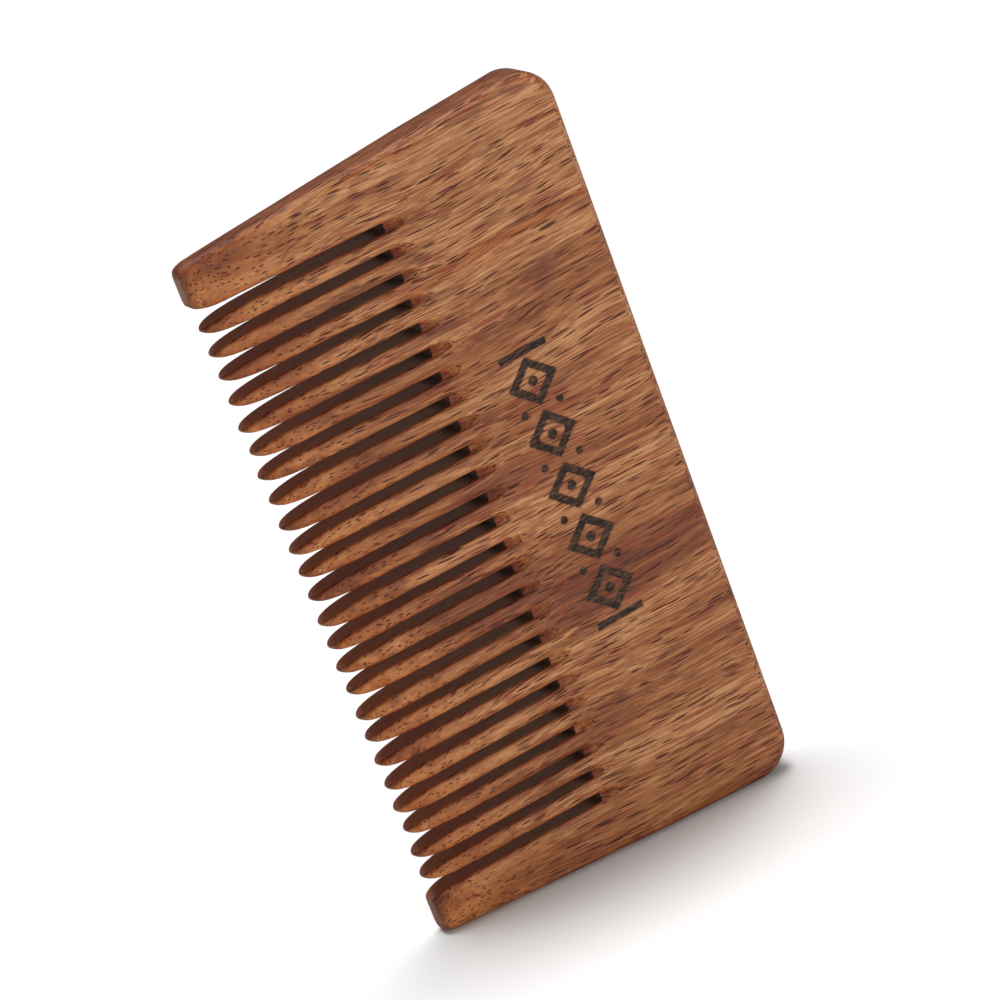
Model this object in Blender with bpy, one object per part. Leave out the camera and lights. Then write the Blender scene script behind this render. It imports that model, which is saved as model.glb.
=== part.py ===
"""A beard comb cut from one hardwood board: its back, its two end guards and its twenty-four teeth.

The comb stands flat on its lower end. The ends lean in towards the tooth tips, so the spine leans back
by the same angle. +X points to the spine and -X to the tips, and the front face looks along -Y.
The pieces are drawn with the spine upright, and one parent leans them all. Distances named "down"
are measured from the spine.
"""

import math

import bmesh
import bpy

# Board
LENGTH = 0.1000
HEIGHT = 0.0524
THICKNESS = 0.0070
THINNING_STARTS = 0.0200
WEDGE_THICKNESS = 0.0037
TIP_THICKNESS = 0.0024
NOSE_LENGTH = 0.0050
END_TAPER = 0.0032
CORNER_RADIUS = 0.0048
EDGE_RADIUS = 0.0015
EDGE_STEPS = 3
CORNER_STEPS = 5

# Teeth and slots
TEETH = 24
PITCH = 0.00335
SLOT_WIDTH = 0.00125
SLOT_END = 0.0270
TOOTH_TIP = 0.0522
TOOTH_EDGE = 0.00045
TOOTH_EDGE_STEPS = 2
OGIVE_LENGTH = 0.0070
OGIVE_STEPS = 5
TIP_ROUNDING = 0.0012
TIP_FLAT = 0.00008

# Guards: corners as (length along the guard, height off its side)
GUARD_SLOT_CORNER = (0.0036, 0.0011)
GUARD_OUTER_CORNER = (0.0020, 0.0008)
GUARD_TIP_EDGE = 0.0003
GUARD_TIP_STEPS = 6

# Left between neighbouring sections of the board
ROOT_GAP = 0.0003

# The angle between the spine and a line square to either end
LEAN = math.atan(END_TAPER / (HEIGHT - CORNER_RADIUS))

WOOD_COLOUR = (0.33, 0.145, 0.055, 1.0)
WOOD_ROUGHNESS = 0.42


def clear_scene():
    for obj in list(bpy.data.objects):
        bpy.data.objects.remove(obj, do_unlink=True)


def wood(name, shade):
    """Oiled rosewood, a little lighter or darker from piece to piece."""
    material = bpy.data.materials.new(name)
    material.use_nodes = True
    shader = material.node_tree.nodes["Principled BSDF"]
    colour = [channel * shade for channel in WOOD_COLOUR[:3]] + [1.0]
    shader.inputs["Base Color"].default_value = colour
    shader.inputs["Roughness"].default_value = WOOD_ROUGHNESS
    shader.inputs["Metallic"].default_value = 0.0
    return material


def rounded_off(left, length, height):
    """How far a rounded end stands back, at a distance left before it."""
    share = min(max(1 - left / length, 0.0), 1.0)
    return height * (1 - math.sqrt(1 - share**2))


def half_thickness(down):
    """Even from the spine to where the thinning starts, then a wedge with a rounded nose at the tips."""
    share = max(down - THINNING_STARTS, 0.0) / (HEIGHT - THINNING_STARTS)
    wedge = (THICKNESS + (WEDGE_THICKNESS - THICKNESS) * share) / 2
    return wedge - rounded_off(HEIGHT - down, NOSE_LENGTH, (WEDGE_THICKNESS - TIP_THICKNESS) / 2)


def half_length(down):
    """Full length down to the end of the spine's corners, then both ends lean in towards the tips."""
    share = max(down - CORNER_RADIUS, 0.0) / (HEIGHT - CORNER_RADIUS)
    return LENGTH / 2 - END_TAPER * share


def end_edge(down):
    """The rounded edge of one end of the board, from its wall to its face, as (distance out, depth)."""
    turned = math.acos(1 - min(down, EDGE_RADIUS) / EDGE_RADIUS)
    points = []
    for step in range(EDGE_STEPS + 1):
        angle = turned * step / EDGE_STEPS
        inset = EDGE_RADIUS * (1 - math.cos(angle))
        out = half_length(down) - inset
        if down < CORNER_RADIUS:
            radius = CORNER_RADIUS - inset
            out -= radius - math.sqrt(max(radius**2 - (CORNER_RADIUS - down) ** 2, 0.0))
        points.append((out, half_thickness(down) - EDGE_RADIUS * (1 - math.sin(angle))))
    return points


def eased_edge(out, depth, radius, steps):
    """A quarter-round edge from the wall at distance out to the face at the given depth."""
    points = []
    for step in range(steps + 1):
        angle = math.pi / 2 * step / steps
        points.append(
            (out - radius * (1 - math.cos(angle)), depth - radius * (1 - math.sin(angle)))
        )
    return points


def ring(down, upper, lower):
    """A closed cross-section from its two edges, each given outwards from the section's centre line."""
    points = [(-depth, out) for out, depth in reversed(upper)]
    points += [(depth, out) for out, depth in upper]
    points += [(depth, -out) for out, depth in reversed(lower)]
    points += [(-depth, -out) for out, depth in lower]
    return [(HEIGHT / 2 - down, y, z) for y, z in points]


def loft(name, rings):
    """One closed body through a row of cross-sections, capped at both ends."""
    mesh = bpy.data.meshes.new(name)
    shape = bmesh.new()
    rows = [[shape.verts.new(point) for point in points] for points in rings]
    for row, following in zip(rows, rows[1:]):
        for index in range(len(row)):
            after = (index + 1) % len(row)
            shape.faces.new((row[index], row[after], following[after], following[index]))
    shape.faces.new(rows[0])
    shape.faces.new(rows[-1])
    bmesh.ops.remove_doubles(shape, verts=shape.verts[:], dist=1e-6)
    bmesh.ops.dissolve_degenerate(shape, edges=shape.edges[:], dist=1e-7)
    bmesh.ops.recalc_face_normals(shape, faces=shape.faces[:])
    shape.to_mesh(mesh)
    shape.free()
    mesh.shade_smooth()
    mesh.set_sharp_from_angle(angle=math.radians(35))
    return mesh


def place(name, mesh, height, parent):
    obj = bpy.data.objects.new(name, mesh)
    obj.location = (0.0, 0.0, height)
    obj.parent = parent
    bpy.context.scene.collection.objects.link(obj)
    return obj


def back_mesh():
    """The part of the board between the spine and the ends of the slots."""
    downs = [
        EDGE_RADIUS * (1 - math.cos(math.pi / 2 * step / EDGE_STEPS))
        for step in range(EDGE_STEPS + 1)
    ]
    turns = [math.pi / 2 * step / CORNER_STEPS for step in range(1, CORNER_STEPS + 1)]
    downs += [CORNER_RADIUS * (1 - math.cos(turn)) for turn in turns]
    downs = sorted(set(downs)) + [THINNING_STARTS, SLOT_END]
    return loft("comb_back", [ring(down, end_edge(down), end_edge(down)) for down in downs])


def guard_mesh(name, side):
    """One end guard; side is 1 for the upper end and -1 for the lower."""
    inner = (TEETH * PITCH + SLOT_WIDTH) / 2
    shares = [math.sin(math.pi / 2 * step / GUARD_TIP_STEPS) for step in range(GUARD_TIP_STEPS + 1)]
    from_tip = [NOSE_LENGTH * (1 - share) for share in shares]
    rings = []
    for left in [HEIGHT - SLOT_END - ROOT_GAP] + from_tip:
        down = HEIGHT - left
        depth = half_thickness(down) - rounded_off(left, GUARD_TIP_EDGE, GUARD_TIP_EDGE)
        out = half_length(down) - rounded_off(left, *GUARD_OUTER_CORNER)
        slot_out = -inner - rounded_off(left, *GUARD_SLOT_CORNER)
        outer = eased_edge(out, depth, min(EDGE_RADIUS, 0.8 * depth), EDGE_STEPS)
        slot_side = eased_edge(slot_out, depth, min(TOOTH_EDGE, 0.8 * depth), EDGE_STEPS)
        edges = (outer, slot_side) if side > 0 else (slot_side, outer)
        rings.append(ring(down, *edges))
    return loft(name, rings)


def tooth_mesh():
    """One tooth: parallel from its root, then narrowing to a rounded tip."""
    half_width = (PITCH - SLOT_WIDTH) / 2
    shares = [math.sin(math.pi / 2 * step / OGIVE_STEPS) for step in range(OGIVE_STEPS)]
    from_tip = [OGIVE_LENGTH * (1 - share) for share in shares]
    downs = [SLOT_END + ROOT_GAP] + [TOOTH_TIP - length for length in from_tip]
    downs += [TOOTH_TIP - TIP_ROUNDING / 3, TOOTH_TIP - TIP_FLAT]
    rings = []
    for down in sorted(downs):
        left = TOOTH_TIP - down
        width = half_width
        depth = half_thickness(down)
        if left < OGIVE_LENGTH:
            width *= math.sqrt(1 - (1 - left / OGIVE_LENGTH) ** 2)
        if left < TIP_ROUNDING:
            depth *= math.sqrt(1 - (1 - left / TIP_ROUNDING) ** 2)
        radius = min(TOOTH_EDGE, 0.6 * width, 0.6 * depth)
        edge = eased_edge(width, depth, radius, TOOTH_EDGE_STEPS)
        rings.append(ring(down, edge, edge))
    return loft("tooth", rings)


def stand(comb):
    """Rest the comb on the flat of its lower end, with the middle of its width over the origin."""
    bpy.context.view_layer.update()
    points = [piece.matrix_world @ vertex.co for piece in comb.children for vertex in piece.data.vertices]
    lowest = min(point.z for point in points)
    middle = (min(point.x for point in points) + max(point.x for point in points)) / 2
    comb.location = (-middle, 0.0, -lowest)


def build():
    clear_scene()
    comb = bpy.data.objects.new("comb", None)
    comb.rotation_euler = (0.0, -LEAN, 0.0)
    bpy.context.scene.collection.objects.link(comb)
    middle = LENGTH / 2

    back = place("comb_back", back_mesh(), middle, comb)
    back.data.materials.append(wood("back_wood", 1.0))

    guard_wood = wood("guard_wood", 0.95)
    for name, side in (("upper_guard", 1), ("lower_guard", -1)):
        guard = place(name, guard_mesh(name, side), middle, comb)
        guard.data.materials.append(guard_wood)

    tooth = tooth_mesh()
    tooth.materials.append(wood("tooth_wood", 0.88))
    for number in range(1, TEETH + 1):
        above_middle = (TEETH + 1) / 2 - number
        place(f"tooth_{number:02d}", tooth, middle + above_middle * PITCH, comb)
    stand(comb)


build()
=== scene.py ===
"""A beard comb sawn from one oiled hardwood board, standing flat on its lower end.

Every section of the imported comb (the back, the two end guards and the teeth) is replaced by a finely
lofted copy in the same place: rolled outer edges, eased slot edges that run out past the slots, crowned
tooth tips and a burnt ornament. One solid wood grain runs through all of them.
The copies are drawn with the spine upright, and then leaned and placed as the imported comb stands.
"Down" is a distance from the spine, towards the tips; "along" is a height along the spine.
"""

import math

import bpy
import numpy as np
from mathutils import Matrix, Vector


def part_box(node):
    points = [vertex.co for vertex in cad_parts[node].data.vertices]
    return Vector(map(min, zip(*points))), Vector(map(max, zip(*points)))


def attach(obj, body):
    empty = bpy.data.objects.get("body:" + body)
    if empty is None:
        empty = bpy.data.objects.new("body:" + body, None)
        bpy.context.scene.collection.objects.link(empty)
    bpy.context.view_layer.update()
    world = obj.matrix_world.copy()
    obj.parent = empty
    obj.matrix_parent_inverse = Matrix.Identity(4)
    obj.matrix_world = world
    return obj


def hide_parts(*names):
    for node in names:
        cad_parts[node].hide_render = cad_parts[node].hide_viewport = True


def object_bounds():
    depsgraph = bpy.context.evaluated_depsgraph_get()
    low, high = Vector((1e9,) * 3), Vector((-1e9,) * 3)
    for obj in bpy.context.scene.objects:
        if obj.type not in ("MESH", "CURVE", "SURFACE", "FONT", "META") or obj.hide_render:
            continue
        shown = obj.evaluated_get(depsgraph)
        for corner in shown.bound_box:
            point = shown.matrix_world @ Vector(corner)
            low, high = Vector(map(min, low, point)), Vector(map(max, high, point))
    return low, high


# Board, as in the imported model; a thin edge's radius stays within THINNEST_EDGE of its half thickness
LENGTH = 0.1000
HEIGHT = 0.0524
THINNING_STARTS = 0.0200
WEDGE_THICKNESS = 0.0037
TIP_THICKNESS = 0.0024
NOSE_LENGTH = 0.0050
END_TAPER = 0.0032
CORNER_RADIUS = 0.0048
EDGE_RADIUS = 0.0015
THINNEST_EDGE = 0.8
GUARD_SLOT_CORNER = (0.0036, 0.0011)
GUARD_OUTER_CORNER = (0.0020, 0.0008)
GUARD_TIP_EDGE = 0.0003
SLOT_WIDTH = 0.00125
SLOT_END = 0.0270
TOOTH_TIP = 0.0522
OGIVE_LENGTH = 0.0070
TIP_ROUNDING = 0.0012
TIP_FLAT = 0.00003

# Eased slot edges
EASE_WIDTH = 0.00085
EASE_DEPTH = 0.00042
WORKED_DEPTH = 0.00030
WORKED_POWER = 0.5

# Grooves that the easing leaves past the ends of the slots, rising by RUN_OUT_RISE over RUN_OUT
VALLEY_SLOPE = 0.50
RUN_OUT = 0.0036
RUN_OUT_RISE = 0.00102
RUN_OUT_POWER = 1.7
RUB_FADE = 0.75
SLOT_END_SPREAD = 0.0004
NOTCH_BLEND = 0.0016

# Tooth tips, partly crowned; the two drops are shares of the half thickness
CROWN = 0.30
CROWN_LENGTH = 0.0020
CROWN_DROP = 0.8
DEEPEST_DROP = 0.75

# Small differences from tooth to tooth
SEED = 24
ROOT_WANDER = 0.00008
TIP_WANDER = 0.00016
TIP_SHORTER = 0.00030
OGIVE_SHARES = (0.95, 1.12)

# Mesh density
EDGE_STEPS = 6
EASE_STEPS = 5
CORNER_STEPS = 10
TOOTH_FLATS = 4
GUARD_FLATS = 10
TOOTH_ROWS = 18
GUARD_ROWS = 24
PLAIN_ROW = 0.0007
MARK_ROW = 0.00016
RUN_OUT_ROW = 0.0002
SLOT_SHARES = (0.16, 0.5, 0.84)
SECTION_SHARES = (0.04, 0.96)
OGIVE_STEPS = 22
GUARD_TIP_STEPS = 18
SHARP_ANGLE = 38

# How far inside its edges a slot wall takes its painted shade
SKIN = 0.00012
SKIN_SHARE = 0.3

# Burnt ornament: a row of lozenges, dots between them and a short line at each end
MARK_DOWN = 0.0161
MARK_ALONG = 0.0496
MARK_STARTS = 0.0120
MARK_ENDS = 0.0202
LOZENGES = 5
LOZENGE_PITCH = 0.0073
LOZENGE_HALF = (0.0033, 0.0036)
LOZENGE_STROKE = 0.00050
DOT_RADIUS = 0.00050
CENTRE_DOT_RADIUS = 0.00065
SIDE_DOT_OFFSET = 0.00259
LINE_OFFSET = 0.0187
LINE_HALF = (0.00048, 0.0034)
MARK_DEPTH = 0.00010
MARK_WALL = (-0.00008, 0.00012)
FAR_FROM_MARK = 0.0050

# Grain, in millimetres from the board's middle towards the spine: where it starts to dive through the
# board, where the tips darken, and where the painted shade in the slots deepens towards their ends
DIVE_STARTS = -10.0
DIVE = 0.016
TIP_TINT = (-4.0, -24.0)
TIP_END = (-24.6, -26.2)
SLOT_END_SHADE = (-3.0, -1.2)

# Depth of the grain's relief, in metres
RELIEF = 0.00006

# Lights: name, azimuth, elevation and spread in degrees, and strength
LIGHTS = (
    ("back_top_light", 180, 82, 18, 1.40),
    ("left_top_light", 237, 74, 20, 0.90),
    ("right_top_light", 123, 74, 20, 0.90),
    ("front_top_light", 0, 79, 20, 0.15),
    ("front_light", 15, 8, 40, 1.52),
)
FLOOR_HALF = 4.0
FLOOR_COLOUR = (0.86, 0.86, 0.86, 1.0)
FLOOR_ROUGHNESS = 0.9

# Camera
TARGET = (0.00179, 0.0, 0.04961)
AZIMUTH = -22.25
ELEVATION = 19.99
ROLL = 17.10
DISTANCE = 0.4696
LENS = 136.8

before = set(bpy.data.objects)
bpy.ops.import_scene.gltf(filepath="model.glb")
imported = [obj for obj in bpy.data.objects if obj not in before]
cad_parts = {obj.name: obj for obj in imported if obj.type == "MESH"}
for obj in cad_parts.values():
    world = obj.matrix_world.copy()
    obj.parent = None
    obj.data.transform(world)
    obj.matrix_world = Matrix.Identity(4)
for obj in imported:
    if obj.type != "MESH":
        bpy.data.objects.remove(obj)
cad_low, cad_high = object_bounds()

SPINE = HEIGHT / 2
MIDDLE = LENGTH / 2
THICKNESS = cad_high.y - cad_low.y
LEAN = math.atan(END_TAPER / (HEIGHT - CORNER_RADIUS))


def linear(red, green, blue):
    """A linear colour from 0-255 display values."""
    channels = []
    for value in (red, green, blue):
        share = value / 255
        low = share / 12.92
        high = ((share + 0.055) / 1.055) ** 2.4
        channels.append(low if share <= 0.04045 else high)
    return (*channels, 1.0)


def smooth_step(value, start, end):
    share = min(max((value - start) / (end - start), 0.0), 1.0)
    return share * share * (3 - 2 * share)


def standing():
    """Leans a piece back until the comb's lower end is level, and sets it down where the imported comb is.

    The lower end is level from the corner's radius to the tips, and the spine's lower corner reaches
    furthest out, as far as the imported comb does.
    """
    lean = Matrix.Rotation(-LEAN, 4, "Y")
    foot = lean @ Vector((SPINE - CORNER_RADIUS, 0.0, 0.0))
    corner = lean @ Vector((SPINE, 0.0, CORNER_RADIUS))
    return Matrix.Translation((cad_high.x - corner.x, 0.0, cad_low.z - foot.z)) @ lean


# ---------------------------------------------------------------- shape of the board


def rounded_off(left, length, height):
    """How far a rounded end stands back, at a distance left before it."""
    share = min(max(1 - left / length, 0.0), 1.0)
    return height * (1 - math.sqrt(1 - share**2))


def half_thickness(down):
    """Even from the spine to where the thinning starts, then a wedge with a rounded nose at the tips."""
    share = max(down - THINNING_STARTS, 0.0) / (HEIGHT - THINNING_STARTS)
    wedge = (THICKNESS + (WEDGE_THICKNESS - THICKNESS) * share) / 2
    return wedge - rounded_off(HEIGHT - down, NOSE_LENGTH, (WEDGE_THICKNESS - TIP_THICKNESS) / 2)


def half_length(down):
    """Full length down to the end of the spine's corners, then both ends lean in towards the tips."""
    share = max(down - CORNER_RADIUS, 0.0) / (HEIGHT - CORNER_RADIUS)
    return LENGTH / 2 - END_TAPER * share


def edge_radius(down):
    return min(EDGE_RADIUS, THINNEST_EDGE * half_thickness(down))


def rolled_edge(down):
    """The rounded outer edge from the face outwards, as (distance outwards, drop below the face)."""
    radius = edge_radius(down)
    turns = [math.pi / 2 * step / EDGE_STEPS for step in range(EDGE_STEPS - 1, -1, -1)]
    return [(radius * math.cos(turn), radius * (1 - math.sin(turn))) for turn in turns]


def eased_insides():
    """Distances into the wood from a slot's edge at which the eased edge has a column."""
    turns = [math.pi / 2 * step / EASE_STEPS for step in range(EASE_STEPS + 1)]
    return [EASE_WIDTH * (1 - math.cos(turn)) for turn in turns]


def cut_depth(inside):
    """How far the face drops at a distance into the wood from a slot's edge; negative is over the slot."""
    if inside >= EASE_WIDTH:
        return 0.0
    if inside < 0:
        return EASE_DEPTH - inside * VALLEY_SLOPE
    return EASE_DEPTH * (1 - math.sqrt(1 - (1 - inside / EASE_WIDTH) ** 2))


# ---------------------------------------------------------------- ornament


def segment_box(across, along, half_across, half_along):
    """Signed distance to a small upright box."""
    outside_across = abs(across) - half_across
    outside_along = abs(along) - half_along
    outside = math.hypot(max(outside_across, 0), max(outside_along, 0))
    return outside + min(max(outside_across, outside_along), 0)


def lozenge(across, along):
    """Signed distance to a lozenge's edge, near enough for a thin outline."""
    half_along, half_across = LOZENGE_HALF
    share = abs(along) / half_along + abs(across) / half_across - 1
    return share / math.hypot(1 / half_along, 1 / half_across)


def mark_distance(down, along):
    """Signed distance to the ornament's burnt lines, negative on them."""
    across = down - MARK_DOWN
    along = along - MARK_ALONG
    nearest = FAR_FROM_MARK
    for number in range(LOZENGES):
        centre = (number - (LOZENGES - 1) / 2) * LOZENGE_PITCH
        edge = lozenge(across, along - centre)
        nearest = min(nearest, abs(edge + LOZENGE_STROKE) - LOZENGE_STROKE)
        nearest = min(nearest, math.hypot(across, along - centre) - CENTRE_DOT_RADIUS)
    for number in range(LOZENGES - 1):
        centre = (number - (LOZENGES - 2) / 2) * LOZENGE_PITCH
        for side in (-1, 1):
            offset = across - side * SIDE_DOT_OFFSET
            nearest = min(nearest, math.hypot(offset, along - centre) - DOT_RADIUS)
    for side in (-1, 1):
        line = segment_box(across, along - side * LINE_OFFSET, LINE_HALF[1], LINE_HALF[0])
        nearest = min(nearest, line)
    return nearest


# ---------------------------------------------------------------- meshes


class Shape:
    """One piece while it is being built: its points, how each was worked, and its faces seen from inside."""

    def __init__(self):
        self.points = []
        self.faces = []
        self.eased = []
        self.sawn = []
        self.rim = []
        self.mark = []

    def add(self, down, depth, along, eased=0.0, sawn=0.0, rim=0.0, mark=FAR_FROM_MARK):
        """Adds a point with what was done to the wood there, and gives the point's number."""
        self.points.append((SPINE - down, depth, along))
        self.eased.append(eased)
        self.sawn.append(sawn)
        self.rim.append(rim)
        self.mark.append(mark * 1000)
        return len(self.points) - 1

    def make(self, name, node):
        """The finished piece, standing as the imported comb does, in place of one of its nodes."""
        mesh = bpy.data.meshes.new(name)
        mesh.from_pydata(self.points, [], [face[::-1] for face in self.faces])
        for label in ("eased", "sawn", "rim", "mark"):
            layer = mesh.attributes.new(label, "FLOAT", "POINT")
            layer.data.foreach_set("value", np.array(getattr(self, label), np.float32))
        board = mesh.attributes.new("board", "FLOAT_VECTOR", "POINT")
        board.data.foreach_set("vector", (np.array(self.points, np.float32) * 1000).ravel())
        mesh.transform(standing())
        mesh.validate()
        mesh.shade_smooth()
        mesh.set_sharp_from_angle(angle=math.radians(SHARP_ANGLE))
        piece = bpy.data.objects.new(name, mesh)
        bpy.context.scene.collection.objects.link(piece)
        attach(piece, "root")
        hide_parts(node)
        return piece


def worked(drop):
    """How far the easing wheel has rubbed a point, from how far it lies below the face."""
    return min((max(drop, 0.0) / WORKED_DEPTH) ** WORKED_POWER, 1.0)


def section_ring(shape, down, profile, thickness, sawn_low, sawn_high):
    """A closed cross-section from its profile of (along, drop, eased, rim), lowest first."""
    faces = []
    for side in (-1, 1):
        face = []
        for along, drop, eased, rim in profile:
            face.append(shape.add(down, side * (thickness - drop), along, eased, 0.0, rim))
        faces.append(face)
    front, back = faces
    walls = []
    for (along, drop, eased, rim), sawn in ((profile[-1], sawn_high), (profile[0], sawn_low)):
        half = thickness - drop
        skin = min(SKIN, SKIN_SHARE * half)
        wall = []
        for depth in (skin - half, 0.0, half - skin):
            wall.append(shape.add(down, depth, along, eased * (1 - sawn), sawn, rim))
        walls.append(wall)
    return front + walls[0] + back[::-1] + walls[1][::-1]


def loft(shape, rings):
    """A skin over a row of cross-sections, closed at both ends."""
    for ring, following in zip(rings, rings[1:]):
        for index in range(len(ring)):
            after = (index + 1) % len(ring)
            shape.faces.append((ring[index], following[index], following[after], ring[after]))
    shape.faces.append(tuple(rings[0]))
    shape.faces.append(tuple(reversed(rings[-1])))


def tooth_pitch(names):
    """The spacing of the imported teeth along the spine."""
    first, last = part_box(names[0])[0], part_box(names[-1])[0]
    return math.hypot(first.x - last.x, first.z - last.z) / (len(names) - 1)


class Slots:
    """Where the teeth stand at their roots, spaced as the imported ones, and how deep each slot is sawn."""

    def __init__(self, names, wander):
        pitch = tooth_pitch(names)
        self.teeth = []
        for number in range(len(names)):
            centre = MIDDLE + ((len(names) - 1) / 2 - number) * pitch
            centre += wander.uniform(-ROOT_WANDER, ROOT_WANDER)
            half_width = (pitch - SLOT_WIDTH) / 2 + wander.uniform(-ROOT_WANDER, ROOT_WANDER) / 3
            self.teeth.append((centre - half_width, centre + half_width))
        self.upper = MIDDLE + (len(names) * pitch + SLOT_WIDTH) / 2
        self.lower = MIDDLE - (len(names) * pitch + SLOT_WIDTH) / 2
        self.deeper = [wander.uniform(0, SLOT_END_SPREAD) for _ in range(len(names) + 1)]

    def edges(self):
        """Each slot's two edges, the lowest slot first."""
        edges = []
        below = self.lower
        for low, high in reversed(self.teeth):
            edges.append((below, low))
            below = high
        edges.append((below, self.upper))
        return edges


def tooth_columns(low, high):
    """(along, drop) over one tooth at its root, with its two eased edges."""
    insides = eased_insides()
    columns = [(low + inside, cut_depth(inside)) for inside in insides]
    flat_low = low + EASE_WIDTH
    flat_high = high - EASE_WIDTH
    for step in range(1, TOOTH_FLATS):
        columns.append((flat_low + (flat_high - flat_low) * step / TOOTH_FLATS, 0.0))
    columns += [(high - inside, cut_depth(inside)) for inside in reversed(insides)]
    return columns


def guard_insides(down, edge):
    """(along from the middle, drop) over an upper guard, from its slot edge to its rolled outer edge."""
    left = HEIGHT - down
    inner = edge + rounded_off(left, *GUARD_SLOT_CORNER)
    columns = [(inner + inside, cut_depth(inside)) for inside in eased_insides()]
    start = inner + EASE_WIDTH
    end = half_length(down) - rounded_off(left, *GUARD_OUTER_CORNER) - edge_radius(down)
    for step in range(1, GUARD_FLATS + 1):
        columns.append((start + (end - start) * step / GUARD_FLATS, 0.0))
    columns += [(end + outwards, drop) for outwards, drop in rolled_edge(down)]
    return columns


def back_downs():
    """Rows of the back: close round the spine's corners, over the ornament and along the run-outs."""
    inner = CORNER_RADIUS - EDGE_RADIUS
    turns = [math.pi / 2 * step / CORNER_STEPS for step in range(CORNER_STEPS + 1)]
    downs = [CORNER_RADIUS - inner * math.cos(turn) for turn in turns]
    for start, end, step in (
        (CORNER_RADIUS, MARK_STARTS, PLAIN_ROW),
        (MARK_STARTS, MARK_ENDS, MARK_ROW),
        (MARK_ENDS, SLOT_END, RUN_OUT_ROW),
    ):
        count = round((end - start) / step)
        downs += [start + (end - start) * number / count for number in range(1, count + 1)]
    return downs


def back_columns(slots):
    """The back's columns, lowest first, as (kind, number, place, inside, slot index)."""
    edges = slots.edges()
    teeth = list(reversed(slots.teeth))
    columns = [("lower", step, 0.0, None, None) for step in range(GUARD_FLATS)]
    columns += [("fixed", 0, slots.lower - inside, inside, 0) for inside in reversed(eased_insides())]
    for index, (low, high) in enumerate(edges):
        for share in SLOT_SHARES:
            place = low + (high - low) * share
            inside = -min(place - low, high - place)
            columns.append(("slot", 0, place, inside, index))
        if index < len(teeth):
            tooth_low, tooth_high = teeth[index]
            for place, _ in tooth_columns(tooth_low, tooth_high):
                from_low, from_high = place - tooth_low, tooth_high - place
                near = index if from_low < from_high else index + 1
                columns.append(("fixed", 0, place, min(from_low, from_high), near))
    last = len(edges) - 1
    columns += [("fixed", 0, slots.upper + inside, inside, last) for inside in eased_insides()]
    columns += [("upper", step, 0.0, None, None) for step in range(1, GUARD_FLATS + 1)]
    return columns


def inner_half(down):
    """Half the board's length inside its rolled edge, corners included."""
    if down >= CORNER_RADIUS:
        return half_length(down) - edge_radius(down)
    radius = CORNER_RADIUS - EDGE_RADIUS
    rise = math.sqrt(max(radius**2 - (CORNER_RADIUS - down) ** 2, 0.0))
    return LENGTH / 2 - CORNER_RADIUS + rise


def outward(down):
    """The outline's outward direction at the upper end, as (down, along)."""
    radius = CORNER_RADIUS - EDGE_RADIUS
    if down >= CORNER_RADIUS:
        return 0.0, 1.0
    towards_spine = (CORNER_RADIUS - down) / radius
    return -towards_spine, math.sqrt(max(1 - towards_spine**2, 0.0))


def column_place(column, slots, down):
    """How far along the spine a column is at one row."""
    kind, step, place, _, _ = column
    reach = inner_half(down)
    if kind == "upper":
        start = slots.upper + EASE_WIDTH
        return start + (MIDDLE + reach - start) * step / GUARD_FLATS
    if kind == "lower":
        start = slots.lower - EASE_WIDTH
        return start - (start - MIDDLE + reach) * (GUARD_FLATS - step) / GUARD_FLATS
    return place


def back_point(column, slots, down):
    """(down, along, drop) of one point of the back's face."""
    kind, _, _, inside, slot = column
    along = column_place(column, slots, down)
    if slot is None:
        return down, along, 0.0
    deeper = slots.deeper[slot]
    if kind == "slot":
        down -= deeper * smooth_step(down, SLOT_END - NOTCH_BLEND - deeper, SLOT_END)
    behind = max(SLOT_END - deeper - down, 0.0)
    fade = RUN_OUT_RISE * (behind / RUN_OUT) ** RUN_OUT_POWER
    return down, along, max(cut_depth(inside) - fade, 0.0)


def back_faces(shape, columns, slots, downs):
    """The points of the board's front and back, row by row from the spine."""
    front, back = [], []
    for down in downs:
        front_row, back_row = [], []
        for column in columns:
            at_down, along, drop = back_point(column, slots, down)
            half = half_thickness(at_down) - drop
            mark = mark_distance(at_down, along)
            engraved = MARK_DEPTH * smooth_step(-mark, *MARK_WALL)
            fading = 1 - RUB_FADE * smooth_step(SLOT_END - at_down, 0.0, RUN_OUT / 2)
            rubbed = worked(drop * fading)
            front_row.append(shape.add(at_down, engraved - half, along, rubbed, 0.0, 0.0, mark))
            back_row.append(shape.add(at_down, half, along, rubbed))
        front.append(front_row)
        back.append(back_row)
    for rows, flip in ((front, False), (back, True)):
        for row, following in zip(rows, rows[1:]):
            for index in range(len(row) - 1):
                face = (row[index], following[index], following[index + 1], row[index + 1])
                shape.faces.append(face[::-1] if flip else face)
    return front, back


def back_rims(shape, columns, slots, downs, front, back):
    """The rolled edges' points, from the lower guard's root round the spine to the upper guard's."""
    last = len(downs) - 1
    path = [(row, 0, -1) for row in range(last, -1, -1)]
    path += [(0, index, 0) for index in range(1, len(columns) - 1)]
    path += [(row, len(columns) - 1, 1) for row in range(last + 1)]
    fronts, backs = [], []
    for row, index, side in path:
        down = downs[row]
        along = column_place(columns[index], slots, down)
        towards_down, towards_along = (-1.0, 0.0) if side == 0 else outward(down)
        front_rim, back_rim = [front[row][index]], [back[row][index]]
        for outwards, drop in rolled_edge(down):
            at_down = down + towards_down * outwards
            at_along = along + side * towards_along * outwards
            half = half_thickness(at_down) - drop
            rim = drop / EDGE_RADIUS
            front_rim.append(shape.add(at_down, -half, at_along, 0.0, 0.0, rim))
            back_rim.append(shape.add(at_down, half, at_along, 0.0, 0.0, rim))
        fronts.append(front_rim)
        backs.append(back_rim)
    return fronts, backs


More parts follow.
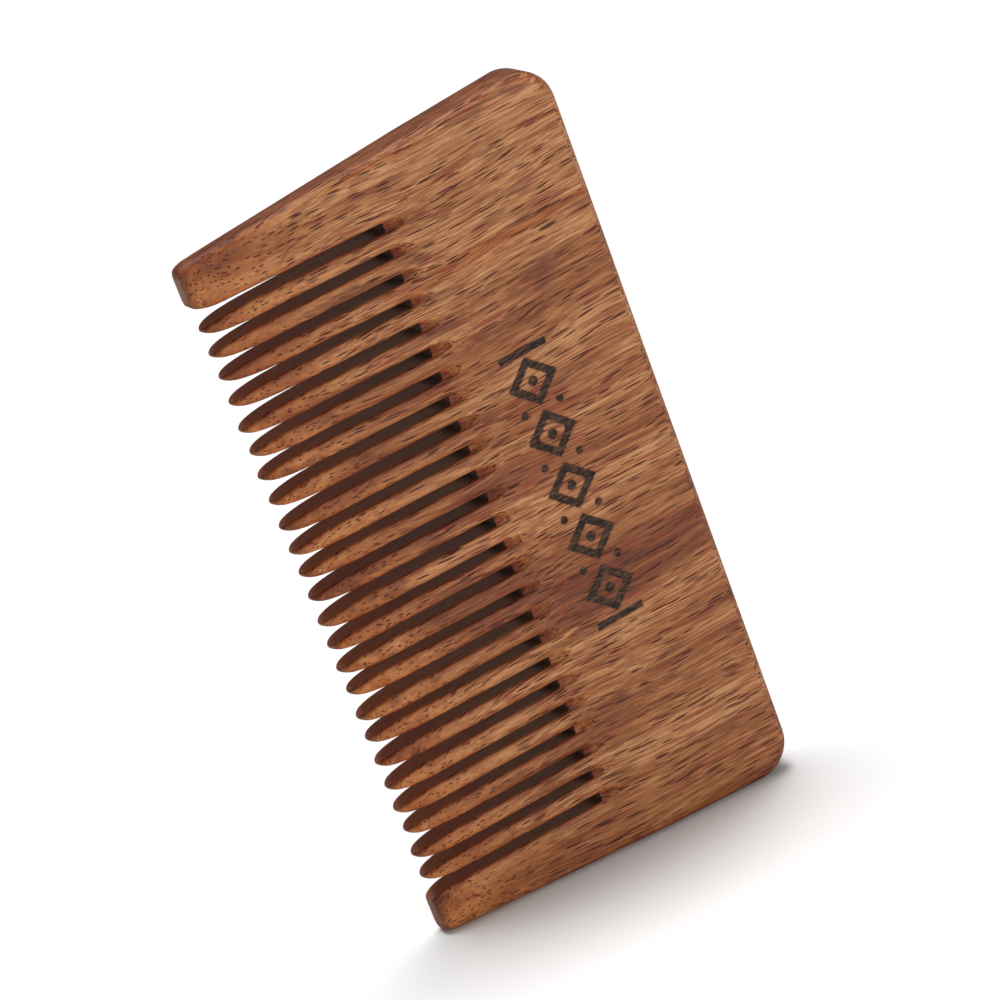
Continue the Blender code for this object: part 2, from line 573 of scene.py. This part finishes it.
def bridge_rims(shape, fronts, backs, first_wall, last_wall):
    """The rolled edges of both faces and the wall between them, all round the outline.

    The first and the last wall take in the points that close_slot_line put on their open edges.
    """
    last = len(fronts) - 2
    for index in range(last + 1):
        near, far = fronts[index], fronts[index + 1]
        for step in range(len(near) - 1):
            shape.faces.append((near[step], far[step], far[step + 1], near[step + 1]))
        near_back, far_back = backs[index], backs[index + 1]
        for step in range(len(near) - 1):
            face = (near_back[step], near_back[step + 1], far_back[step + 1], far_back[step])
            shape.faces.append(face)
        far_side = [far[-1], *(last_wall if index == last else []), far_back[-1]]
        near_side = [near_back[-1], *(first_wall[::-1] if index == 0 else []), near[-1]]
        shape.faces.append(tuple(far_side + near_side))


def close_slot_line(shape, front_row, back_row, fronts, backs):
    """The section through the board at the ends of the slots; gives its points on both end walls."""
    front = fronts[0][:0:-1] + front_row + fronts[-1][1:]
    back = backs[0][:0:-1] + back_row + backs[-1][1:]
    rows = [front]
    for share in SECTION_SHARES:
        row = []
        for index, (at_front, at_back) in enumerate(zip(front, back)):
            start, end = Vector(shape.points[at_front]), Vector(shape.points[at_back])
            point = start.lerp(end, share)
            on_wall = index in (0, len(front) - 1)
            sawn, rim = (0.0, 1.0) if on_wall else (1.0, 0.0)
            row.append(shape.add(SPINE - point.x, point.y, point.z, 0.0, sawn, rim))
        rows.append(row)
    rows.append(back)
    for row, following in zip(rows, rows[1:]):
        for index in range(len(row) - 1):
            shape.faces.append((row[index], following[index], following[index + 1], row[index + 1]))
    return [row[0] for row in rows[1:-1]], [row[-1] for row in rows[1:-1]]


def back_piece(slots):
    """The board from its spine to the ends of the slots."""
    shape = Shape()
    columns = back_columns(slots)
    downs = back_downs()
    front, back = back_faces(shape, columns, slots, downs)
    fronts, backs = back_rims(shape, columns, slots, downs, front, back)
    first_wall, last_wall = close_slot_line(shape, front[-1], back[-1], fronts, backs)
    bridge_rims(shape, fronts, backs, first_wall, last_wall)
    return shape.make("comb_back_wood", "comb_back")


def guard_piece(name, side, slots):
    """One end guard, flat at its tip with both corners rounded; side is 1 for the upper end."""
    shape = Shape()
    edge = slots.upper - MIDDLE if side > 0 else MIDDLE - slots.lower
    straight = HEIGHT - NOSE_LENGTH
    downs = [SLOT_END + (straight - SLOT_END) * step / GUARD_ROWS for step in range(GUARD_ROWS)]
    for step in range(GUARD_TIP_STEPS + 1):
        downs.append(straight + NOSE_LENGTH * math.sin(math.pi / 2 * step / GUARD_TIP_STEPS))
    rings = []
    for down in downs:
        thinner = rounded_off(HEIGHT - down, GUARD_TIP_EDGE, GUARD_TIP_EDGE)
        columns = guard_insides(down, edge)
        profile = []
        for position, (place, drop) in enumerate(columns):
            slot_side = position <= EASE_STEPS
            eased = worked(drop) if slot_side else 0.0
            rim = 0.0 if slot_side else drop / edge_radius(down)
            profile.append((MIDDLE + side * place, drop, eased, rim))
        sawn_low, sawn_high = 1.0, 0.0
        if side < 0:
            profile.reverse()
            sawn_low, sawn_high = 0.0, 1.0
        rings.append(
            section_ring(shape, down, profile, half_thickness(down) - thinner, sawn_low, sawn_high)
        )
    loft(shape, rings)
    return shape.make(f"{name}_wood", name)


def tooth_piece(name, root, wander):
    """One tooth: parallel from its root, then narrowing and rounding over to its tip."""
    shape = Shape()
    low, high = root
    centre = (low + high) / 2
    tip = TOOTH_TIP - wander.uniform(0, TIP_SHORTER)
    lean = wander.uniform(-TIP_WANDER, TIP_WANDER)
    ogive = OGIVE_LENGTH * wander.uniform(*OGIVE_SHARES)
    downs = [SLOT_END + (tip - ogive - SLOT_END) * step / TOOTH_ROWS for step in range(TOOTH_ROWS)]
    for step in range(OGIVE_STEPS):
        left = ogive * (1 - math.sin(math.pi / 2 * step / OGIVE_STEPS))
        downs.append(tip - max(left, TIP_FLAT))
    columns = tooth_columns(low, high)
    rings = []
    for down in downs:
        left = tip - down
        width = 1.0
        thickness = half_thickness(down)
        if left < ogive:
            width = math.sqrt(1 - (1 - left / ogive) ** 2)
        if left < TIP_ROUNDING:
            thickness *= math.sqrt(1 - (1 - left / TIP_ROUNDING) ** 2)
        rounding = CROWN * smooth_step(-left, -CROWN_LENGTH, 0)
        shift = lean * ((down - SLOT_END) / (tip - SLOT_END)) ** 2
        profile = []
        for place, drop in columns:
            aside = (place - centre) / (high - centre)
            drop = min(drop, DEEPEST_DROP * thickness)
            oval = CROWN_DROP * thickness * (1 - math.sqrt(max(1 - aside**2, 0.0)))
            drop += (oval - drop) * rounding
            profile.append((centre + (place - centre) * width + shift, drop, worked(drop), 0.0))
        rings.append(section_ring(shape, down, profile, thickness, 1.0, 1.0))
    loft(shape, rings)
    return shape.make(f"{name}_wood", name)


# ---------------------------------------------------------------- oiled wood


class Nodes:
    """Short calls for building a node tree."""

    def __init__(self, tree):
        self.tree = tree

    def add(self, kind, **settings):
        node = self.tree.nodes.new(kind)
        for key, value in settings.items():
            setattr(node, key, value)
        return node

    def join(self, source, socket):
        if isinstance(source, bpy.types.NodeSocket):
            self.tree.links.new(source, socket)
        else:
            socket.default_value = source

    def math(self, operation, first, second=0.0, clamp=False):
        node = self.add("ShaderNodeMath", operation=operation, use_clamp=clamp)
        self.join(first, node.inputs[0])
        self.join(second, node.inputs[1])
        return node.outputs[0]

    def ramp(self, value, low, high, out_low=0.0, out_high=1.0):
        node = self.add("ShaderNodeMapRange", interpolation_type="SMOOTHSTEP")
        for source, socket in zip((value, low, high, out_low, out_high), node.inputs):
            self.join(source, socket)
        return node.outputs[0]

    def stretch(self, vector, scale, offset=(0.0, 0.0, 0.0)):
        node = self.add("ShaderNodeVectorMath", operation="MULTIPLY_ADD")
        self.join(vector, node.inputs[0])
        node.inputs[1].default_value = scale
        node.inputs[2].default_value = offset
        return node.outputs[0]

    def noise(self, vector, detail=2.0, roughness=0.5):
        node = self.add("ShaderNodeTexNoise", noise_dimensions="3D")
        self.join(vector, node.inputs["Vector"])
        node.inputs["Scale"].default_value = 1.0
        node.inputs["Detail"].default_value = detail
        node.inputs["Roughness"].default_value = roughness
        return node.outputs["Fac"]

    def cells(self, vector):
        node = self.add("ShaderNodeTexVoronoi", feature="F1", voronoi_dimensions="3D")
        self.join(vector, node.inputs["Vector"])
        node.inputs["Scale"].default_value = 1.0
        return node.outputs["Distance"]

    def mix(self, share, first, second, blend="MIX"):
        node = self.add("ShaderNodeMix", data_type="RGBA", blend_type=blend)
        self.join(share, node.inputs[0])
        self.join(first, node.inputs[6])
        self.join(second, node.inputs[7])
        return node.outputs[2]

    def tint(self, share, colour, shade):
        """A colour multiplied by a shade, as far as the share says."""
        return self.mix(share, colour, shade, "MULTIPLY")

    def product(self, first, second):
        return self.math("MULTIPLY", first, second)

    def attribute(self, name):
        return self.add("ShaderNodeAttribute", attribute_name=name).outputs["Fac"]

    def colours(self, value, stops):
        node = self.add("ShaderNodeValToRGB")
        elements = node.color_ramp.elements
        while len(elements) < len(stops):
            elements.new(0.5)
        for element, (position, colour) in zip(elements, stops):
            element.position = position
            element.color = colour
        self.join(value, node.inputs[0])
        return node.outputs[0]


def grain_space(nodes):
    """How far towards the spine, and the grain's coordinates, both in millimetres of the board's own.

    The grain wanders through the board, and dives through it towards the tips.
    """
    millimetres = nodes.add("ShaderNodeAttribute", attribute_name="board").outputs["Vector"]
    split = nodes.add("ShaderNodeSeparateXYZ")
    nodes.join(millimetres, split.inputs[0])
    sway = nodes.noise(nodes.stretch(millimetres, (0.03, 0.09, 0.05)), detail=1.0)
    flutter = nodes.noise(nodes.stretch(millimetres, (0.10, 0.3, 0.3), (7.0, 3.0, 1.0)), detail=1.0)
    bend = nodes.math("ADD", nodes.product(sway, 5.0), nodes.product(flutter, 0.6))
    past = nodes.math("MAXIMUM", nodes.math("SUBTRACT", DIVE_STARTS, split.outputs[0]), 0.0)
    dive = nodes.product(nodes.product(past, past), DIVE)
    shift = nodes.add("ShaderNodeCombineXYZ")
    nodes.join(nodes.math("ADD", nodes.product(bend, 0.5), dive), shift.inputs[1])
    nodes.join(bend, shift.inputs[2])
    moved = nodes.add("ShaderNodeVectorMath", operation="ADD")
    nodes.join(millimetres, moved.inputs[0])
    nodes.join(shift.outputs[0], moved.inputs[1])
    return split.outputs[0], moved.outputs[0]


def bare_wood(nodes, grain, tips, streaks, fibres):
    """Broad bands with soft streaks, dark smudges and fine fibres; the fibres fade at the tips."""
    bands = nodes.noise(nodes.stretch(grain, (0.012, 0.20, 0.19), (3.1, 0.0, 4.0)), 3.0, 0.55)
    tone = nodes.math("ADD", bands, nodes.product(nodes.math("SUBTRACT", streaks, 0.5), 0.34))
    colour = nodes.colours(
        tone,
        (
            (0.30, linear(115, 64, 37)),
            (0.42, linear(147, 91, 52)),
            (0.52, linear(168, 114, 71)),
            (0.60, linear(188, 138, 94)),
            (0.72, linear(161, 99, 50)),
        ),
    )
    smudges = nodes.noise(nodes.stretch(grain, (0.10, 0.42, 0.42), (9.0, 1.0, 4.0)), 2.0, 0.55)
    colour = nodes.tint(nodes.ramp(smudges, 0.56, 0.70, 0.0, 0.75), colour, linear(186, 164, 160))
    fibre_shade = nodes.mix(nodes.ramp(fibres, 0.42, 0.58), linear(198, 172, 154), linear(255, 252, 248))
    return nodes.tint(nodes.ramp(tips, 0.0, 1.0, 1.0, 0.25), colour, fibre_shade)


def vessels(nodes, grain, tips):
    """Shares of long red lines and of short dark pores, which are cut open as dots at the tips."""
    clusters = nodes.noise(nodes.stretch(grain, (0.04, 0.45, 0.45), (1.0, 2.0, 6.0)), 2.0)
    threads = nodes.cells(nodes.stretch(grain, (0.075, 3.6, 3.6)))
    small = nodes.cells(nodes.stretch(grain, (0.17, 2.7, 2.7), (0.2, 0.6, 0.1)))
    large = nodes.cells(nodes.stretch(grain, (0.13, 1.35, 1.35), (0.4, 0.2, 0.7)))
    lines = nodes.product(nodes.ramp(threads, 0.38, 0.31), nodes.ramp(clusters, 0.34, 0.54))
    lines = nodes.product(lines, nodes.ramp(tips, 0.0, 1.0, 0.80, 0.15))
    small_pores = nodes.product(nodes.ramp(small, 0.29, 0.225), nodes.ramp(clusters, 0.28, 0.46))
    return lines, nodes.math("MAXIMUM", small_pores, nodes.ramp(large, 0.165, 0.12))


def wear_and_rim_shade(nodes, colour, grain, across, tips, rim):
    """Golden to red where the edges were eased, darker with painted shade on the rolled outer rims and
    walls, and warmer towards the tips.
    """
    eased = nodes.attribute("eased")
    rub = nodes.noise(nodes.stretch(grain, (0.22, 1.3, 0.6), (2.0, 5.0, 8.0)), 3.0, 0.6)
    redder = nodes.math("ADD", eased, nodes.product(nodes.math("SUBTRACT", rub, 0.5), 1.6))
    rub_tint = nodes.mix(nodes.ramp(redder, 0.45, 1.05), linear(232, 204, 152), linear(196, 132, 120))
    colour = nodes.tint(nodes.product(eased, nodes.ramp(rub, 0.30, 0.60, 0.55, 0.95)), colour, rub_tint)
    # Painted shade: the rolled outer edges and the outer walls are darkened where shade falls on them
    colour = nodes.tint(rim, colour, linear(180, 136, 104))
    colour = nodes.tint(nodes.product(tips, 0.8), colour, linear(238, 206, 158))
    ends = nodes.ramp(across, *TIP_END, 0.0, 0.7)
    return nodes.tint(ends, colour, linear(150, 126, 112))


def painted_slot_shade(nodes, colour, across, tips, sawn):
    """Painted shade on the slot walls, greyest in the middle and almost black at the ends of the slots."""
    # Painted shade of the slot walls: greyer deep in the slots, browner towards the tips
    slot_shade_colour = nodes.mix(tips, linear(128, 100, 83), linear(142, 84, 63))
    # Painted shade deepening to almost black at the ends of the slots
    slot_end_shade = nodes.ramp(across, *SLOT_END_SHADE)
    slot_shade_colour = nodes.mix(slot_end_shade, slot_shade_colour, linear(46, 32, 26))
    return nodes.mix(sawn, colour, nodes.mix(0.78, colour, slot_shade_colour))


def ornament(nodes, colour, mark, burnt, char):
    """Charred lines with a scorched border."""
    colour = nodes.tint(nodes.ramp(mark, 0.35, 0.0, 0.0, 0.35), colour, linear(190, 150, 130))
    burnt_colour = nodes.mix(nodes.ramp(char, 0.40, 0.70), linear(34, 24, 19), linear(88, 62, 46))
    return nodes.mix(burnt, colour, burnt_colour)


def wood_material():
    """Oiled rosewood-like hardwood with its grain along the teeth, with painted shade on the rims and in the
    slots.
    """
    material = bpy.data.materials.new("oiled_wood")
    material.use_nodes = True
    tree = material.node_tree
    nodes = Nodes(tree)
    shader = tree.nodes["Principled BSDF"]

    # What the colour, the roughness and the relief share
    across, grain = grain_space(nodes)
    tips = nodes.ramp(across, *TIP_TINT)
    streaks = nodes.noise(nodes.stretch(grain, (0.05, 1.5, 1.5)), 3.0, 0.55)
    fibres = nodes.noise(nodes.stretch(grain, (0.14, 4.2, 4.2)), 4.0, 0.75)
    lines, pores = vessels(nodes, grain, tips)
    rim = nodes.product(nodes.attribute("rim"), 0.75)
    sawn = nodes.attribute("sawn")
    mark = nodes.attribute("mark")
    char = nodes.noise(nodes.stretch(grain, (0.9, 3.0, 3.0)), 3.0, 0.6)
    wobble = nodes.product(nodes.math("SUBTRACT", char, 0.5), 0.22)
    burnt = nodes.ramp(nodes.math("ADD", mark, wobble), 0.06, -0.05)

    colour = bare_wood(nodes, grain, tips, streaks, fibres)
    colour = nodes.mix(lines, colour, linear(122, 45, 26))
    pore_colour = nodes.mix(tips, linear(62, 24, 16), linear(86, 38, 26))
    colour = nodes.mix(nodes.product(pores, 0.92), colour, pore_colour)
    # Eased edges, tips and tip ends in their own colours, with painted shade on the rims
    colour = wear_and_rim_shade(nodes, colour, grain, across, tips, rim)
    # Painted shade on the slot walls
    colour = painted_slot_shade(nodes, colour, across, tips, sawn)
    nodes.join(ornament(nodes, colour, mark, burnt, char), shader.inputs["Base Color"])

    # Satin oil: duller in pores, saw cuts, rims and char
    rough = nodes.ramp(streaks, 0.25, 0.75, 0.42, 0.54)
    for share, duller in ((pores, 0.25), (sawn, 0.25), (rim, 0.20), (burnt, 0.3)):
        rough = nodes.math("ADD", rough, nodes.product(share, duller), clamp=True)
    nodes.join(rough, shader.inputs["Roughness"])
    shader.inputs["Specular IOR Level"].default_value = 0.25

    # Raised fibres, and pores, lines and char that lie below them
    height = nodes.product(fibres, 0.6)
    for share, lower in ((pores, 0.8), (lines, 0.5), (nodes.product(burnt, char), 0.8)):
        height = nodes.math("SUBTRACT", height, nodes.product(share, lower))
    bump = nodes.add("ShaderNodeBump")
    bump.inputs["Strength"].default_value = 0.6
    bump.inputs["Distance"].default_value = RELIEF
    nodes.join(height, bump.inputs["Height"])
    nodes.join(bump.outputs[0], shader.inputs["Normal"])
    return material


# ---------------------------------------------------------------- studio


def plain_material(name, colour, roughness):
    material = bpy.data.materials.new(name)
    material.use_nodes = True
    shader = material.node_tree.nodes["Principled BSDF"]
    shader.inputs["Base Color"].default_value = colour
    shader.inputs["Roughness"].default_value = roughness
    return material


def floor():
    mesh = bpy.data.meshes.new("floor")
    half = FLOOR_HALF
    corners = [(-half, -half, 0), (half, -half, 0), (half, half, 0), (-half, half, 0)]
    mesh.from_pydata(corners, [], [(0, 1, 2, 3)])
    mesh.materials.append(plain_material("floor_paint", FLOOR_COLOUR, FLOOR_ROUGHNESS))
    plane = bpy.data.objects.new("floor", mesh)
    bpy.context.scene.collection.objects.link(plane)


def direction(azimuth, elevation):
    """From the comb outwards, in degrees: azimuth 0 is its front and 90 its spine's side."""
    turn, rise = math.radians(azimuth), math.radians(elevation)
    return Vector((math.sin(turn) * math.cos(rise), -math.cos(turn) * math.cos(rise), math.sin(rise)))


def soft_sun(name, azimuth, elevation, spread, strength):
    """A wide, even light from one direction, all angles in degrees."""
    data = bpy.data.lights.new(name, "SUN")
    data.angle = math.radians(spread)
    data.energy = strength
    light = bpy.data.objects.new(name, data)
    light.rotation_euler = (-direction(azimuth, elevation)).to_track_quat("-Z", "Y").to_euler()
    bpy.context.scene.collection.objects.link(light)


def studio_walls():
    """White round the horizon and dimmer overhead, so that the floor keeps its shadow."""
    sky = bpy.data.worlds.new("studio")
    sky.use_nodes = True
    nodes = Nodes(sky.node_tree)
    split = nodes.add("ShaderNodeSeparateXYZ")
    nodes.join(nodes.add("ShaderNodeTexCoord").outputs["Generated"], split.inputs[0])
    background = sky.node_tree.nodes["Background"]
    nodes.join(nodes.ramp(split.outputs[2], 0.10, 0.36, 1.0, 0.13), background.inputs["Color"])
    background.inputs["Strength"].default_value = 1.0
    bpy.context.scene.world = sky


def camera():
    """The camera looks at TARGET, rolled by ROLL."""
    back = direction(AZIMUTH, ELEVATION)
    roll = math.radians(ROLL)
    level_right = Vector((0, 0, 1)).cross(back).normalized()
    level_up = back.cross(level_right)
    right = level_right * math.cos(roll) - level_up * math.sin(roll)
    up = level_up * math.cos(roll) + level_right * math.sin(roll)
    data = bpy.data.cameras.new("camera")
    data.lens = LENS
    data.sensor_width = 36.0
    data.clip_start = 0.01
    data.clip_end = 20.0
    eye = bpy.data.objects.new("camera", data)
    place = Matrix((right, up, back)).transposed().to_4x4()
    place.translation = Vector(TARGET) + back * DISTANCE
    eye.matrix_world = place
    bpy.context.scene.collection.objects.link(eye)
    bpy.context.scene.camera = eye


def build():
    wander = np.random.default_rng(SEED)
    names = sorted(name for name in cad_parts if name.startswith("tooth_"))
    slots = Slots(names, wander)
    pieces = [back_piece(slots)]
    pieces.append(guard_piece("upper_guard", 1, slots))
    pieces.append(guard_piece("lower_guard", -1, slots))
    for name, root in zip(names, slots.teeth):
        pieces.append(tooth_piece(name, root, wander))
    wood = wood_material()
    for piece in pieces:
        piece.data.materials.append(wood)

    floor()
    studio_walls()
    for light in LIGHTS:
        soft_sun(*light)
    camera()
    bpy.context.scene.view_settings.view_transform = "Standard"


build()
